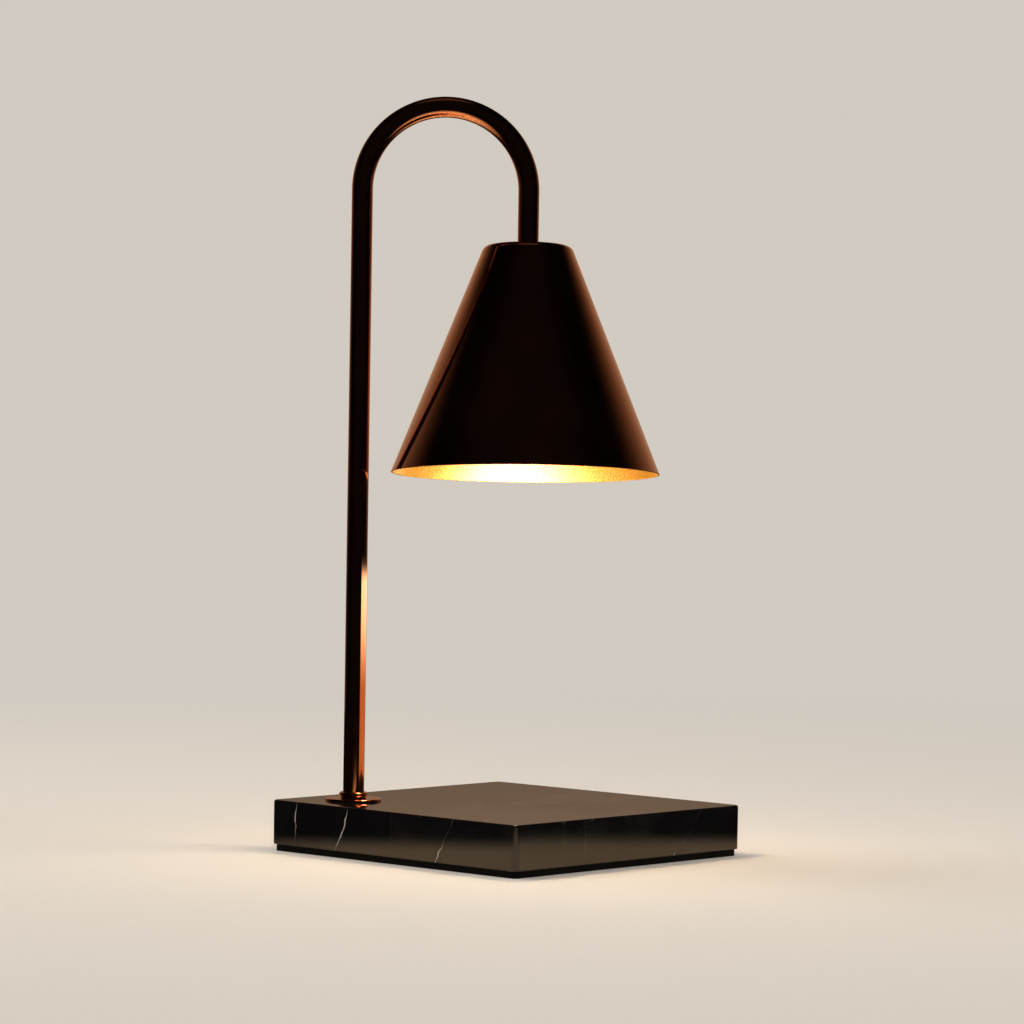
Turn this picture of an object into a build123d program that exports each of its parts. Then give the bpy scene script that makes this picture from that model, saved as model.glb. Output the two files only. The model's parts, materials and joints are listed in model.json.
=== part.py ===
"""Candle warmer lamp: a square marble base, an arched tube arm and a conical shade that hangs on a
friction swivel and holds a twist-lock reflector bulb above the candle.

Millimetres, +Z up. The origin is the centre of the base's underside, with the base's sides along X and Y.
The arm rises at the (-X, -Y) corner and reaches along the diagonal towards the (+X, +Y) corner.
"""

import os
from math import cos, radians, sin, tan

from build123d import *

# ---------------------------------------------------------------- base
BASE_SIDE = 150.0
STONE_THICKNESS = 20.0
STONE_CORNER_R = 2.5
STONE_TOP_EDGE_R = 1.0
STONE_BOTTOM_EDGE_R = 0.5
PAD_THICKNESS = 3.0
PAD_INSET = 1.0
STEM_INSET = 26.0  # stem axis from each of the two sides that meet at its corner
POCKET_R = 18.0  # round pocket under the stem, for its nut and the wiring
POCKET_DEPTH = 13.0

# ---------------------------------------------------------------- arm
TUBE_DIAMETER = 9.5
TUBE_WALL = 1.0
STEM_HEIGHT = 275.7  # from the stone's top to the start of the arch
BEND_R = 37.5  # centreline of the half-circle arch
LEG_LENGTH = 25.5  # straight end of the tube after the arch

# ---------------------------------------------------------------- foot
FLANGE_DIAMETER = 25.4
FLANGE_THICKNESS = 1.2
COLLAR_DIAMETER = 13.0
COLLAR_BEAD_R = 1.05  # half-round bead at the collar's top
COLLAR_NECK_HEIGHT = 0.7
COLLAR_NECK_INSET = 0.7
STUD_DIAMETER = 8.0
STUD_BORE_R = 2.6
SPIGOT_LENGTH = 12.0  # how far each stud reaches into the tube
STUD_PROJECTION = 1.0  # end of the stud below its nut
RUBBER_WASHER_DIAMETER = 30.0
RUBBER_WASHER_THICKNESS = 1.0
SPREAD_WASHER_DIAMETER = 28.0
SPREAD_WASHER_THICKNESS = 1.2
TOOTHED_WASHER_DIAMETER = 15.0
TOOTHED_WASHER_THICKNESS = 0.6
TOOTH_COUNT = 10
TOOTH_DEPTH = 1.8
TOOTH_GAP_WIDTH = 2.2
NUT_ACROSS_FLATS = 13.0
NUT_THICKNESS = 3.6
NUT_CHAMFER_WIDTH = 0.8
NUT_CHAMFER_DROP = 0.4

# ---------------------------------------------------------------- cord outlet
BUSH_DIAMETER = 8.2
BUSH_BORE_R = 3.25
BUSH_LENGTH = 10.0
BUSH_FLANGE_DIAMETER = 11.0
BUSH_FLANGE_THICKNESS = 1.5
OUTLET_HEIGHT = 6.5  # outlet axis above the stone's underside

# ---------------------------------------------------------------- swivel under the shade's top
BALL_R = 8.0
BALL_BOTTOM = 6.5  # the ball is cut flat this far below its centre
BALL_MOUTH_R = 3.9  # flared mouth of the bore, which clears the leads as the shade tilts
SWIVEL_BORE_R = 2.5
TUBE_SEAT = 7.2  # above the ball's centre, where the tube's end rests on the ball's neck
SHADE_TILT = 4.7  # rest angle from plumb: the shade's opening faces a little to the front
TILT_LIMIT = 8.0  # largest angle from plumb, either way
SOCKET_HALF_HEIGHT = 7.4
SOCKET_DIAMETER = 31.0
SOCKET_TOP_DIAMETER = 27.0
SOCKET_SPLIT = 1.2  # gap that the clamping screws close on
SOCKET_SCREW_SPACING = 25.0
SCREW_DIAMETER = 3.0
SCREW_HEAD_DIAMETER = 5.5
SCREW_HEAD_HEIGHT = 2.0
SCREW_SLOT_WIDTH = 0.7
SCREW_SLOT_DEPTH = 0.8

# ---------------------------------------------------------------- shade
SHADE_HEIGHT = 103.0
SHADE_RIM_DIAMETER = 121.0
SHADE_TOP_DIAMETER = 39.4
SHADE_WALL = 1.0
SHADE_TOP_EDGE_R = 2.5
SHADE_RIM_EDGE_R = 0.3

# ---------------------------------------------------------------- lampholder and its bracket
BRACKET_THICKNESS = 1.2
BRACKET_WIDTH = 12.0
BRACKET_BEND_R = 1.8
BRACKET_SPAN = 35.2  # over the outside of its legs
BRACKET_DROP = 7.9  # from the underside of its top disc to the lampholder
BRACKET_FOOT_LENGTH = 9.0
HOLDER_DIAMETER = 32.0
HOLDER_CHAMFER = 0.6
HOLDER_FLOOR = 3.0
HOLDER_CHAMBER_DEPTH = 9.0
HOLDER_CHAMBER_R = 8.5
HOLDER_RIB = 2.0  # wall between the two chambers
HOLDER_COVER = 3.0
HOLDER_SCREW_SPACING = 24.0
HOLDER_SCREW_SINK = 2.4
CONTACT_THICKNESS = 0.5
CONTACT_WIDTH = 5.0
CONTACT_TAB_WIDTH = 3.0

# ---------------------------------------------------------------- bulb with a twist-lock base
PIN_SPACING = 10.0
PIN_NECK_R = 1.6
PIN_HEAD_R = 2.5
PIN_HEAD_HEIGHT = 3.4
PIN_HEAD_CHAMFER = 0.3
LOCK_ANGLE = 35.0  # turn from the entry holes to the locked rest
BULB_DIAMETER = 50.0
BULB_LENGTH = 48.7  # shoulder to front
BULB_BASE_R = 13.5
BULB_BASE_LENGTH = 12.7
BULB_BASE_NOSE_R = 11.0
BULB_NECK_R = 7.5
BULB_NECK_GRIP = 8.0  # how deep the base holds the reflector's neck
REFLECTOR_WALL = 1.4
REFLECTOR_LIP = 2.8
REFLECTOR_BELLY_R = 18.9  # control point of the bowl's curve: how wide it opens ...
REFLECTOR_BELLY_DROP = 3.7  # ... and how soon
FRONT_GLASS_THICKNESS = 1.6
FRONT_GLASS_CHAMFER = 0.3
CAPSULE_R = 5.0
CAPSULE_LENGTH = 15.0  # hollow part below the stem
CAPSULE_STEM_R = 3.0
CAPSULE_STEM_LENGTH = 12.0
CAPSULE_BORE_R = 1.0
CAPSULE_WALL = 0.8
FILAMENT_R = 0.6
FILAMENT_LENGTH = 5.0
FILAMENT_LEG_R = 0.25
FILAMENT_LEG_BEND_R = 1.0
FILAMENT_LEG_STRAIGHT = 2.5  # before each leg leans in to the stem

# ---------------------------------------------------------------- wiring
LEAD_R = 1.0
LEAD_OFFSET = 1.1  # each lead from the tube's axis
LEAD_TURN_R = 2.8
LEAD_TAIL = 12.0  # how far each lead's end lies from the stem's axis
SPLICE_R = 2.4
SPLICE_GRIP = 7.0
SPLICE_LENGTH = 9.0
HOLDER_LEAD_BEND_R = 9.0
HOLDER_LEAD_DROP = 2.5  # height above the lampholder at which its leads are spread

# ---------------------------------------------------------------- clearances
FIT = 0.05  # radial, between pieces that are pressed, brazed or threaded together
RUNNING_FIT = 0.05  # radial, between the ball and its sockets
BOLT_CLEARANCE = 0.25  # radial, round a screw or stud that passes through
FREE_GAP = 0.3  # between pieces that move past each other
LEAD_HOLE_CLEARANCE = 0.3  # radial, round a lead

# ---------------------------------------------------------------- places worked out from the sizes
STONE_TOP = PAD_THICKNESS + STONE_THICKNESS
STEM_X = STEM_INSET - BASE_SIDE / 2
TUBE_R = TUBE_DIAMETER / 2
TUBE_BORE_R = TUBE_R - TUBE_WALL
TUBE_START = STONE_TOP + FLANGE_THICKNESS
ARCH_START = STONE_TOP + STEM_HEIGHT
REACH = 2 * BEND_R

ARM_DIRECTION = Vector(1, 1, 0).normalized()
ARM_NORMAL = Vector(1, -1, 0).normalized()
ARM_PLANE = Plane(origin=(STEM_X, STEM_X, 0), x_dir=ARM_DIRECTION, z_dir=ARM_NORMAL)
STEM = Location((STEM_X, STEM_X, 0))

# The cord outlet's own frame: origin on the side face behind the stem, Z into the stone.
OUTLET = Location((-BASE_SIDE / 2, STEM_X, PAD_THICKNESS + OUTLET_HEIGHT), (0, 90, 0))

PLATE_TOP = SOCKET_HALF_HEIGHT + SHADE_WALL  # above the ball's centre, along the shade's axis
TILT_SPREAD = PLATE_TOP * tan(radians(TILT_LIMIT))  # sideways travel of the plate's hole
NECK_HOLE_R = TUBE_R / cos(radians(TILT_LIMIT)) + TILT_SPREAD + FREE_GAP
PIVOT_Z = ARCH_START - LEG_LENGTH - TUBE_SEAT
PIVOT = ARM_PLANE.from_local_coords((REACH, PIVOT_Z, 0))
LEG = Location(PIVOT)

# The head's own frame: origin at the ball's centre, Z up the shade's axis, X along the arm.
HEAD_UP = Vector(0, 0, 1).rotate(Axis((0, 0, 0), ARM_DIRECTION), -SHADE_TILT)
HEAD = Plane(origin=PIVOT, x_dir=ARM_DIRECTION, z_dir=HEAD_UP).location

BRACKET_TOP = -SOCKET_HALF_HEIGHT
HOLDER_TOP = BRACKET_TOP - BRACKET_THICKNESS - BRACKET_DROP
CHAMBER_TOP = HOLDER_TOP - HOLDER_COVER
CHAMBER_FLOOR = CHAMBER_TOP - HOLDER_CHAMBER_DEPTH
HOLDER_BOTTOM = CHAMBER_FLOOR - HOLDER_FLOOR
BULB_TOP = HOLDER_BOTTOM - FREE_GAP
PIN_HEAD_BASE = CHAMBER_FLOOR + FREE_GAP
PIN_TOP = PIN_HEAD_BASE + PIN_HEAD_HEIGHT
CONTACT_TOP = PIN_TOP + FREE_GAP + CONTACT_THICKNESS
SCREW_HEAD_R = SCREW_HEAD_DIAMETER / 2
SCREW_R = SCREW_DIAMETER / 2
BULB_BASE_END = BULB_TOP - BULB_BASE_LENGTH
BULB_FRONT = BULB_TOP - BULB_LENGTH
CAPSULE_STEM_END = BULB_BASE_END + BULB_NECK_GRIP - CAPSULE_STEM_LENGTH
LEAD_LEVEL = PAD_THICKNESS + SPLICE_R + FREE_GAP


# ---------------------------------------------------------------- helpers
def rod(radius, bottom, top):
    """Upright cylinder about the frame's Z axis, from bottom to top."""
    base_centre = (Align.CENTER, Align.CENTER, Align.MIN)
    return Pos(0, 0, bottom) * Cylinder(radius, top - bottom, align=base_centre)


def ring(outer_r, inner_r, bottom, top):
    """Upright ring about the frame's Z axis."""
    return rod(outer_r, bottom, top) - rod(inner_r, bottom, top)


def turned(*outline):
    """Solid turned about the Z axis from a closed outline of lines drawn as (radius, height)."""
    return revolve(make_face((Plane.XZ * (Curve() + list(outline))).edges()), Axis.Z)


def round_bar(path, radius):
    """Round bar along a path."""
    return sweep(Plane(origin=path @ 0, z_dir=path % 0) * Circle(radius), path=path)


def cheese_screw(seat, tip):
    """Slotted screw about the Z axis: its head hangs under the seat, its shank ends at the tip."""
    head = rod(SCREW_HEAD_R, seat - SCREW_HEAD_HEIGHT, seat)
    slot = Box(SCREW_HEAD_DIAMETER, SCREW_SLOT_WIDTH, SCREW_SLOT_DEPTH)
    slot_height = seat - SCREW_HEAD_HEIGHT + SCREW_SLOT_DEPTH / 2
    return head - Pos(0, 0, slot_height) * slot + rod(SCREW_R, seat, tip)


# ---------------------------------------------------------------- base
def marble_base():
    """Square slab with eased edges, a hole for the stem's stud, a pocket and a cord outlet."""
    slab = extrude(RectangleRounded(BASE_SIDE, BASE_SIDE, STONE_CORNER_R), STONE_THICKNESS)
    slab = fillet(slab.edges().group_by(Axis.Z)[-1], STONE_TOP_EDGE_R)
    slab = fillet(slab.edges().group_by(Axis.Z)[0], STONE_BOTTOM_EDGE_R)
    slab = Pos(0, 0, PAD_THICKNESS) * slab
    stud_hole = rod(STUD_DIAMETER / 2 + BOLT_CLEARANCE, PAD_THICKNESS, STONE_TOP)
    pocket = rod(POCKET_R, PAD_THICKNESS, PAD_THICKNESS + POCKET_DEPTH)
    bush_hole = rod(BUSH_DIAMETER / 2 + FIT, 0, STEM_INSET)
    flange_seat = rod(BUSH_FLANGE_DIAMETER / 2 + FIT, 0, BUSH_FLANGE_THICKNESS)
    return slab - STEM * (stud_hole + pocket) - OUTLET * (bush_hole + flange_seat)


def base_pad():
    """Soft pad under the stone, which also closes the pocket."""
    side = BASE_SIDE - 2 * PAD_INSET
    return extrude(RectangleRounded(side, side, STONE_CORNER_R), PAD_THICKNESS)


def cord_bush():
    """Flanged bush, flush with the side face, that lines the cord outlet."""
    flange = rod(BUSH_FLANGE_DIAMETER / 2, 0, BUSH_FLANGE_THICKNESS)
    bush = flange + rod(BUSH_DIAMETER / 2, 0, BUSH_LENGTH) - rod(BUSH_BORE_R, 0, BUSH_LENGTH)
    return OUTLET * bush


# ---------------------------------------------------------------- foot of the stem
def foot_flange():
    """Thin disc with a rounded edge, on the stone."""
    disc = rod(FLANGE_DIAMETER / 2, 0, FLANGE_THICKNESS)
    disc = fillet(disc.edges().group_by(Axis.Z)[-1], FLANGE_THICKNESS / 2)
    disc -= rod(STUD_DIAMETER / 2 + BOLT_CLEARANCE, 0, FLANGE_THICKNESS)
    return STEM * Pos(0, 0, STONE_TOP) * disc


def foot_collar():
    """Turned ring round the tube's end: a narrow neck below a half-round bead."""
    outer = COLLAR_DIAMETER / 2
    bead_start = COLLAR_NECK_HEIGHT
    bead_end = bead_start + 2 * COLLAR_BEAD_R
    inner = TUBE_R + FIT
    neck = outer - COLLAR_NECK_INSET
    shoulder = outer - COLLAR_BEAD_R
    collar = turned(
        Polyline(
            (shoulder, bead_start),
            (neck, bead_start),
            (neck, 0),
            (inner, 0),
            (inner, bead_end),
            (shoulder, bead_end),
        ),
        ThreePointArc(
            (shoulder, bead_end), (outer, bead_start + COLLAR_BEAD_R), (shoulder, bead_start)
        ),
    )
    return STEM * Pos(0, 0, TUBE_START) * collar


def washer_heights():
    """Underside of each piece in the stack below the stone, from the top down."""
    heights = [PAD_THICKNESS + POCKET_DEPTH]
    for thickness in (
        RUBBER_WASHER_THICKNESS,
        SPREAD_WASHER_THICKNESS,
        TOOTHED_WASHER_THICKNESS,
        NUT_THICKNESS,
    ):
        heights.append(heights[-1] - thickness)
    return heights


def flat_washer(diameter, bottom, top):
    """Flat ring round the stud."""
    return STEM * ring(diameter / 2, STUD_DIAMETER / 2 + BOLT_CLEARANCE, bottom, top)


def toothed_washer(bottom, top):
    """Lock washer with gaps cut between its outer teeth."""
    disc = ring(TOOTHED_WASHER_DIAMETER / 2, STUD_DIAMETER / 2 + BOLT_CLEARANCE, bottom, top)
    gap = Box(TOOTH_DEPTH, TOOTH_GAP_WIDTH, top - bottom)
    gap_middle = (TOOTHED_WASHER_DIAMETER - TOOTH_DEPTH) / 2
    gaps = [place * gap for place in PolarLocations(gap_middle, TOOTH_COUNT)]
    return STEM * (disc - [Pos(0, 0, (bottom + top) / 2) * cut for cut in gaps])


def retaining_nut(bottom, top):
    """Thin hexagon nut, its corners chamfered on both faces."""
    half_flats = NUT_ACROSS_FLATS / 2
    hexagon = RegularPolygon(radius=half_flats, side_count=6, major_radius=False)
    corner_r = half_flats / cos(radians(30))
    blank = rod(corner_r, bottom, top)
    for face_edges in (blank.edges().group_by(Axis.Z)[-1], blank.edges().group_by(Axis.Z)[0]):
        blank = chamfer(face_edges, NUT_CHAMFER_DROP, NUT_CHAMFER_WIDTH)
    prism = Pos(0, 0, bottom) * extrude(hexagon, top - bottom)
    return STEM * ((blank & prism) - rod(STUD_DIAMETER / 2 + FIT, bottom, top))


def stem_stud(nut_bottom):
    """Hollow threaded stud, brazed into the tube, that the nut pulls down."""
    shank = rod(STUD_DIAMETER / 2, nut_bottom - STUD_PROJECTION, TUBE_START)
    spigot = rod(TUBE_BORE_R - FIT, TUBE_START, TUBE_START + SPIGOT_LENGTH)
    bore = rod(STUD_BORE_R, nut_bottom - STUD_PROJECTION, TUBE_START + SPIGOT_LENGTH)
    return STEM * (shank + spigot - bore)


# ---------------------------------------------------------------- arm
def arm_path(start, end, side=0.0):
    """Centreline up the stem, over the arch and down the leg, this far beside the tube's axis."""
    stem = Line((0, start), (0, ARCH_START))
    arch = ThreePointArc((0, ARCH_START), (BEND_R, ARCH_START + BEND_R), (REACH, ARCH_START))
    leg = Line((REACH, ARCH_START), (REACH, end))
    return ARM_PLANE.offset(side) * (Curve() + [stem, arch, leg])


def arm_tube():
    """Bent tube, open from end to end for the leads."""
    path = arm_path(TUBE_START, ARCH_START - LEG_LENGTH)
    section = Plane(origin=path @ 0, z_dir=path % 0) * (Circle(TUBE_R) - Circle(TUBE_BORE_R))
    return sweep(section, path=path)


def swivel_stud():
    """Spigot in the tube, neck and ball in one turned piece, bored for the leads."""
    spigot_end = TUBE_SEAT + SPIGOT_LENGTH
    spigot = rod(TUBE_BORE_R - FIT, TUBE_SEAT, spigot_end)
    neck = rod(TUBE_R, 0, TUBE_SEAT)
    ball = Sphere(BALL_R) & rod(BALL_R, -BALL_BOTTOM, BALL_R)
    bore = rod(SWIVEL_BORE_R, -BALL_BOTTOM, spigot_end)
    mouth = Pos(0, 0, -BALL_BOTTOM / 2) * Cone(BALL_MOUTH_R, SWIVEL_BORE_R, BALL_BOTTOM)
    return LEG * (spigot + neck + ball - bore - mouth)


# ---------------------------------------------------------------- swivel sockets
def socket_screw_places():
    """Clamping screws, across the arm, so that they miss the bracket's legs."""
    half = SOCKET_SCREW_SPACING / 2
    return Locations((0, half, 0), (0, -half, 0))


def socket_cap():
    """Upper half of the ball's socket, brazed under the shade's top plate."""
    bottom_r = SOCKET_DIAMETER / 2
    cap = rod(bottom_r, SOCKET_SPLIT / 2, SOCKET_HALF_HEIGHT)
    edge_drop = (SOCKET_DIAMETER - SOCKET_TOP_DIAMETER) / 2
    cap = chamfer(cap.edges().group_by(Axis.Z)[-1], edge_drop)
    cap -= Sphere(BALL_R + RUNNING_FIT) + rod(NECK_HOLE_R, 0, SOCKET_HALF_HEIGHT)
    thread = rod(SCREW_R + FIT, SOCKET_SPLIT / 2, SOCKET_HALF_HEIGHT - SHADE_WALL)
    return cap - [place * thread for place in socket_screw_places()]


def socket_ring():
    """Lower half of the ball's socket, pulled up on the ball by the two screws."""
    ring_part = rod(SOCKET_DIAMETER / 2, -SOCKET_HALF_HEIGHT, -SOCKET_SPLIT / 2)
    ring_part -= Sphere(BALL_R + RUNNING_FIT) + rod(NECK_HOLE_R, -SOCKET_HALF_HEIGHT, 0)
    hole = rod(SCREW_R + BOLT_CLEARANCE, -SOCKET_HALF_HEIGHT, 0)
    return ring_part - [place * hole for place in socket_screw_places()]


def socket_screws():
    """Two screws, up through the bracket and the lower socket into the upper one."""
    seat = BRACKET_TOP - BRACKET_THICKNESS
    tip = SOCKET_HALF_HEIGHT - SHADE_WALL - FREE_GAP
    return [place * cheese_screw(seat, tip) for place in socket_screw_places()]


# ---------------------------------------------------------------- shade
def shade():
    """Conical shell with a flat top, an open mouth and a hole for the swivel's neck."""
    mouth = PLATE_TOP - SHADE_HEIGHT
    rim_r = SHADE_RIM_DIAMETER / 2
    top_r = SHADE_TOP_DIAMETER / 2
    cone = turned(Polyline((0, mouth), (rim_r, mouth), (top_r, PLATE_TOP), (0, PLATE_TOP), close=True))
    cone = fillet(cone.edges().group_by(Axis.Z)[-1], SHADE_TOP_EDGE_R)
    shell = offset(cone, amount=-SHADE_WALL, openings=cone.faces().sort_by(Axis.Z)[0])
    shell = fillet(shell.edges().group_by(Axis.Z)[0], SHADE_RIM_EDGE_R)
    return shell - rod(NECK_HOLE_R, PLATE_TOP - 2 * SHADE_WALL, PLATE_TOP)


# ---------------------------------------------------------------- lampholder
def holder_screw_places():
    """The lampholder's two screws, under the bracket's feet."""
    half = HOLDER_SCREW_SPACING / 2
    return Locations((half, 0, 0), (-half, 0, 0))


def holder_bracket():
    """Sheet-metal disc under the socket with two bent legs whose feet carry the lampholder."""
    middle = BRACKET_THICKNESS / 2
    web_height = BRACKET_TOP - middle
    foot_height = HOLDER_TOP + middle
    leg = BRACKET_SPAN / 2 - middle
    foot_end = leg - BRACKET_FOOT_LENGTH
    strip = Plane.XZ * FilletPolyline(
        (foot_end, foot_height),
        (leg, foot_height),
        (leg, web_height),
        (-leg, web_height),
        (-leg, foot_height),
        (-foot_end, foot_height),
        radius=BRACKET_BEND_R,
    )
    section = Plane(origin=strip @ 0, x_dir=(0, 0, 1), z_dir=strip % 0)
    folded = sweep(section * Rectangle(BRACKET_THICKNESS, BRACKET_WIDTH), path=strip)
    bracket = folded + rod(SOCKET_DIAMETER / 2, BRACKET_TOP - BRACKET_THICKNESS, BRACKET_TOP)
    bracket -= rod(NECK_HOLE_R, BRACKET_TOP - BRACKET_THICKNESS, BRACKET_TOP)
    clear = rod(SCREW_R + BOLT_CLEARANCE, BRACKET_TOP - BRACKET_THICKNESS, BRACKET_TOP)
    thread = rod(SCREW_R + FIT, HOLDER_TOP, HOLDER_TOP + BRACKET_THICKNESS)
    bracket -= [place * clear for place in socket_screw_places()]
    return bracket - [place * thread for place in holder_screw_places()]


def lampholder():
    """Ceramic body: two chambers over a floor with a keyhole slot under each."""
    outer = HOLDER_DIAMETER / 2
    body = rod(outer, HOLDER_BOTTOM, CHAMBER_TOP)
    body = chamfer(body.edges().group_by(Axis.Z)[0], HOLDER_CHAMFER)
    rib = Box(HOLDER_DIAMETER, HOLDER_RIB, HOLDER_CHAMBER_DEPTH)
    chambers = rod(HOLDER_CHAMBER_R, CHAMBER_FLOOR, CHAMBER_TOP)
    chambers -= Pos(0, 0, (CHAMBER_FLOOR + CHAMBER_TOP) / 2) * rib
    pin_travel = CenterArc((0, 0), PIN_SPACING / 2, 90 - LOCK_ANGLE, LOCK_ANGLE)
    neck_slot = SlotArc(pin_travel, 2 * (PIN_NECK_R + FREE_GAP))
    keyhole = neck_slot + Pos(pin_travel @ 0) * Circle(PIN_HEAD_R + FREE_GAP)
    slot = Pos(0, 0, HOLDER_BOTTOM) * extrude(keyhole, HOLDER_FLOOR)
    body -= [chambers, slot, Rot(0, 0, 180) * slot]
    screw_hole = rod(SCREW_R + BOLT_CLEARANCE, HOLDER_BOTTOM, CHAMBER_TOP)
    head_seat = rod(SCREW_HEAD_R + BOLT_CLEARANCE, HOLDER_BOTTOM, HOLDER_BOTTOM + HOLDER_SCREW_SINK)
    return body - [place * (screw_hole + head_seat) for place in holder_screw_places()]


def holder_cover():
    """Ceramic disc over the chambers, with a hole for each lead."""
    cover = rod(HOLDER_DIAMETER / 2, CHAMBER_TOP, HOLDER_TOP)
    cover = chamfer(cover.edges().group_by(Axis.Z)[-1], HOLDER_CHAMFER)
    lead_hole = rod(LEAD_R + LEAD_HOLE_CLEARANCE, CHAMBER_TOP, HOLDER_TOP)
    screw_hole = rod(SCREW_R + BOLT_CLEARANCE, CHAMBER_TOP, HOLDER_TOP)
    cover -= [place * screw_hole for place in holder_screw_places()]
    half = PIN_SPACING / 2
    return cover - [place * lead_hole for place in Locations((0, half, 0), (0, -half, 0))]


def holder_contacts():
    """Two bronze strips, each a leaf over a pin's travel with a tab up to the cover."""
    leaf_reach = HOLDER_CHAMBER_R - HOLDER_RIB / 2 - 2 * FREE_GAP - CONTACT_THICKNESS
    leaf_start = HOLDER_RIB / 2 + FREE_GAP
    leaf = Box(CONTACT_WIDTH, leaf_reach, CONTACT_THICKNESS)
    leaf = Pos(0, leaf_start + leaf_reach / 2, CONTACT_TOP - CONTACT_THICKNESS / 2) * leaf
    tab_height = CHAMBER_TOP - CONTACT_TOP + CONTACT_THICKNESS
    tab = Box(CONTACT_TAB_WIDTH, CONTACT_THICKNESS, tab_height)
    tab_y = leaf_start + leaf_reach - CONTACT_THICKNESS / 2
    contact = leaf + Pos(0, tab_y, CHAMBER_TOP - tab_height / 2) * tab
    return [contact, Rot(0, 0, 180) * contact]


def holder_screws():
    """Two screws, sunk in the lampholder's underside, up into the bracket's feet."""
    seat = HOLDER_BOTTOM + HOLDER_SCREW_SINK
    tip = HOLDER_TOP + BRACKET_THICKNESS
    return [place * cheese_screw(seat, tip) for place in holder_screw_places()]


# ---------------------------------------------------------------- bulb
def bulb_base():
    """Ceramic base: a shoulder under the lampholder and a groove that grips the reflector's neck."""
    neck_top = BULB_BASE_END + BULB_NECK_GRIP
    nose_drop = BULB_BASE_R - BULB_BASE_NOSE_R
    base = rod(BULB_BASE_R, BULB_BASE_END, BULB_TOP)
    base = chamfer(base.edges().group_by(Axis.Z)[0], nose_drop)
    groove = ring(BULB_NECK_R + FIT, BULB_NECK_R - REFLECTOR_WALL - FIT, BULB_BASE_END, neck_top)
    capsule_hole = rod(CAPSULE_STEM_R + FIT, BULB_BASE_END, neck_top)
    return base - groove - capsule_hole


def bulb_pins():
    """Two pins, each a neck through the keyhole slot and a head above it."""
    neck = rod(PIN_NECK_R, BULB_TOP, PIN_HEAD_BASE)
    head = rod(PIN_HEAD_R, PIN_HEAD_BASE, PIN_TOP)
    head = chamfer(head.edges().group_by(Axis.Z)[-1], PIN_HEAD_CHAMFER)
    half = PIN_SPACING / 2
    return [place * (neck + head) for place in Locations((0, half, 0), (0, -half, 0))]


def reflector_curve(neck_r, mouth_r, start, end, inset=0.0):
    """Parabola from neck to mouth, as (radius, height); inset moves its belly in from the outer wall's."""
    belly = (REFLECTOR_BELLY_R - inset, start - REFLECTOR_BELLY_DROP)
    return Bezier((neck_r, start), belly, (mouth_r, end))


def bulb_reflector():
    """Glass reflector: a neck, a parabolic bowl and a lip that the front glass sits in."""
    lip_top = BULB_FRONT + REFLECTOR_LIP
    neck_top = BULB_BASE_END + BULB_NECK_GRIP
    outer = BULB_DIAMETER / 2
    bowl_r = outer - REFLECTOR_WALL / 2
    inner_neck = BULB_NECK_R - REFLECTOR_WALL
    inner_bowl = bowl_r - REFLECTOR_WALL
    seat_r = outer - REFLECTOR_WALL
    glass_top = BULB_FRONT + FRONT_GLASS_THICKNESS
    bowl_start = BULB_BASE_END - REFLECTOR_WALL
    return turned(
        Polyline((BULB_NECK_R, bowl_start), (BULB_NECK_R, neck_top), (inner_neck, neck_top)),
        Line((inner_neck, neck_top), (inner_neck, bowl_start - REFLECTOR_WALL)),
        reflector_curve(inner_neck, inner_bowl, bowl_start - REFLECTOR_WALL, glass_top, REFLECTOR_WALL),
        Polyline(
            (inner_bowl, glass_top),
            (seat_r, glass_top),
            (seat_r, BULB_FRONT),
            (outer, BULB_FRONT),
            (outer, lip_top),
            (bowl_r, lip_top),
        ),
        reflector_curve(BULB_NECK_R, bowl_r, bowl_start, lip_top),
    )


def bulb_front_glass():
    """Flat front glass in the reflector's lip."""
    glass = rod(BULB_DIAMETER / 2 - REFLECTOR_WALL - FIT, BULB_FRONT, BULB_FRONT + FRONT_GLASS_THICKNESS)
    return chamfer(glass.edges().group_by(Axis.Z)[0], FRONT_GLASS_CHAMFER)


def bulb_capsule():
    """Quartz capsule: a stem held in the base and a hollow, round-ended body."""
    stem_top = BULB_BASE_END + BULB_NECK_GRIP
    inner_r = CAPSULE_R - CAPSULE_WALL
    body_start = CAPSULE_STEM_END - CAPSULE_R + CAPSULE_STEM_R
    dome_centre = CAPSULE_STEM_END - CAPSULE_LENGTH + CAPSULE_R
    slant = sin(radians(45))
    return turned(
        Polyline(
            (CAPSULE_BORE_R, stem_top),
            (CAPSULE_STEM_R, stem_top),
            (CAPSULE_STEM_R, CAPSULE_STEM_END),
            (CAPSULE_R, body_start),
            (CAPSULE_R, dome_centre),
        ),
        ThreePointArc(
            (CAPSULE_R, dome_centre),
            (CAPSULE_R * slant, dome_centre - CAPSULE_R * slant),
            (0, dome_centre - CAPSULE_R),
        ),
        Line((0, dome_centre - CAPSULE_R), (0, dome_centre - inner_r)),
        ThreePointArc(
            (0, dome_centre - inner_r),
            (inner_r * slant, dome_centre - inner_r * slant),
            (inner_r, dome_centre),
        ),
        Polyline(
            (inner_r, dome_centre),
            (inner_r, body_start),
            (CAPSULE_BORE_R, CAPSULE_STEM_END),
            (CAPSULE_BORE_R, stem_top),
        ),
    )


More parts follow.
